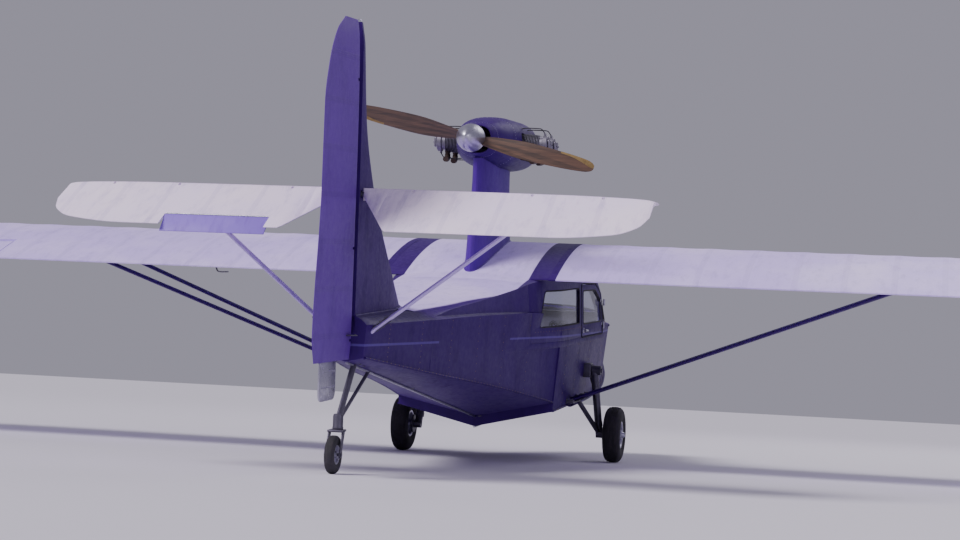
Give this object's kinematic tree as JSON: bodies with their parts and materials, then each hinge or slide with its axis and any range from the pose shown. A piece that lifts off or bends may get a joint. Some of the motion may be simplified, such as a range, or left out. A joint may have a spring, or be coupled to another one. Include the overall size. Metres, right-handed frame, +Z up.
{
  "type": "amphibian flying boat",
  "caption": "High-wing amphibian flying boat: a stepped plywood hull with a closed cabin, strutted wing with tip floats, pusher engine on a pylon, and wheels for land.",
  "frame": {"origin": "centre of the bounding box at floor level, with the aircraft parked on its wheels", "axes": "+X to the right wing tip, +Y forward along the floor, +Z up; the hull sits 4 degrees nose up"},
  "size_m": [11.1206, 7.3788, 2.3638],
  "materials": {
    "hull_paint": "dark violet-blue enamel on plywood, satin",
    "wing_paint": "pale doped fabric and plywood, satin",
    "rudder_paint": "mid violet doped fabric, satin",
    "glass": "clear bent acrylic sheet",
    "steel": "painted steel tube",
    "aluminium": "cast and sheet aluminium",
    "engine_metal": "cast aluminium with turned fins",
    "tyre": "black rubber",
    "cushion": "dark brown leathercloth",
    "interior": "matt grey paint",
    "wood": "varnished plywood",
    "propeller_wood": "varnished laminated wood"
  },
  "bodies": {
    "airframe": {"hull": "hull_paint", "cabin_top": "hull_paint", "cabin_floor": "wood", "instrument_panel": "interior", "seat_base": "wood", "seat_back": "wood", "fin": "hull_paint", "nacelle": "hull_paint", "engine_pylon": "rudder_paint", "engine": "engine_metal", "tail_leg": "steel", "quarter_window_left": "glass", "front_window_left": "glass", "windscreen_left": "glass", "seat_cushion_left": "cushion", "seat_squab_left": "cushion", "control_stick_left": "steel", "wing_left": "wing_paint", "wing_strut_front_left": "hull_paint", "wing_strut_rear_left": "hull_paint", "tip_float_left": "hull_paint", "tailplane_left": "wing_paint", "tail_strut_left": "wing_paint", "gear_leg_left": "steel", "quarter_window_right": "glass", "front_window_right": "glass", "windscreen_right": "glass", "seat_cushion_right": "cushion", "seat_squab_right": "cushion", "control_stick_right": "steel", "wing_right": "wing_paint", "wing_strut_front_right": "hull_paint", "wing_strut_rear_right": "hull_paint", "tip_float_right": "hull_paint", "tailplane_right": "wing_paint", "tail_strut_right": "wing_paint", "gear_leg_right": "steel"},
    "door_left": {"door_left": "hull_paint", "door_window_left": "glass"},
    "door_right": {"door_right": "hull_paint", "door_window_right": "glass"},
    "aileron_left": {"aileron_left": "wing_paint"},
    "aileron_right": {"aileron_right": "wing_paint"},
    "elevators": {"elevator_left": "wing_paint", "elevator_right": "wing_paint", "elevator_tube": "steel", "trim_tab": "wing_paint"},
    "rudders": {"rudder": "rudder_paint", "water_rudder": "aluminium"},
    "propeller": {"propeller": "propeller_wood"},
    "main_wheel_left": {"main_tyre_left": "tyre", "main_rim_left": "aluminium"},
    "main_wheel_right": {"main_tyre_right": "tyre", "main_rim_right": "aluminium"},
    "tail_fork": {"tail_fork": "steel"},
    "tail_wheel": {"tail_tyre": "tyre", "tail_rim": "aluminium"}
  },
  "joints": [
    {"name": "door_left_hinge", "type": "hinge", "parent": "airframe", "child": "door_left", "pos_m": [-0.584, 1.83546, 1.12159], "axis": [0, -0.0698, 0.9976], "range_deg": [-75, 0]},
    {"name": "door_right_hinge", "type": "hinge", "parent": "airframe", "child": "door_right", "pos_m": [0.584, 1.83546, 1.12159], "axis": [0, -0.0698, 0.9976], "range_deg": [0, 75]},
    {"name": "aileron_left_hinge", "type": "hinge", "parent": "airframe", "child": "aileron_left", "pos_m": [-4.2, 0.035, 1.28614], "axis": [1, 0, 0], "range_deg": [-20, 20]},
    {"name": "aileron_right_hinge", "type": "hinge", "parent": "airframe", "child": "aileron_right", "pos_m": [4.2, 0.035, 1.28614], "axis": [1, 0, 0], "range_deg": [-20, 20]},
    {"name": "elevator_hinge", "type": "hinge", "parent": "airframe", "child": "elevators", "pos_m": [0, -3.07951, 1.46558], "axis": [1, 0, 0], "range_deg": [-50, 0]},
    {"name": "rudder_hinge", "type": "hinge", "parent": "airframe", "child": "rudders", "pos_m": [0, -3.1597, 1.39381], "axis": [0, -0.0698, 0.9976], "range_deg": [-25, 25]},
    {"name": "propeller_shaft", "type": "hinge", "parent": "airframe", "child": "propeller", "pos_m": [0, -0.36788, 2.11031], "axis": [0, 0.9976, 0.0698], "continuous": true},
    {"name": "main_axle_left", "type": "hinge", "parent": "airframe", "child": "main_wheel_left", "pos_m": [-0.78, 1.33956, 0.19976], "axis": [1, 0, 0], "continuous": true},
    {"name": "main_axle_right", "type": "hinge", "parent": "airframe", "child": "main_wheel_right", "pos_m": [0.78, 1.33956, 0.19976], "axis": [1, 0, 0], "continuous": true},
    {"name": "tail_swivel", "type": "hinge", "parent": "airframe", "child": "tail_fork", "pos_m": [0, -3.13515, 0.25427], "axis": [0, -0.0698, 0.9976], "range_deg": [-45, 45]},
    {"name": "tail_axle", "type": "hinge", "parent": "tail_fork", "child": "tail_wheel", "pos_m": [0, -3.19451, 0.09976], "axis": [1, 0, 0], "continuous": true}
  ],
  "couplings": [
    {"joint": "aileron_left_hinge", "follows": "aileron_right_hinge", "ratio": -1}
  ]
}
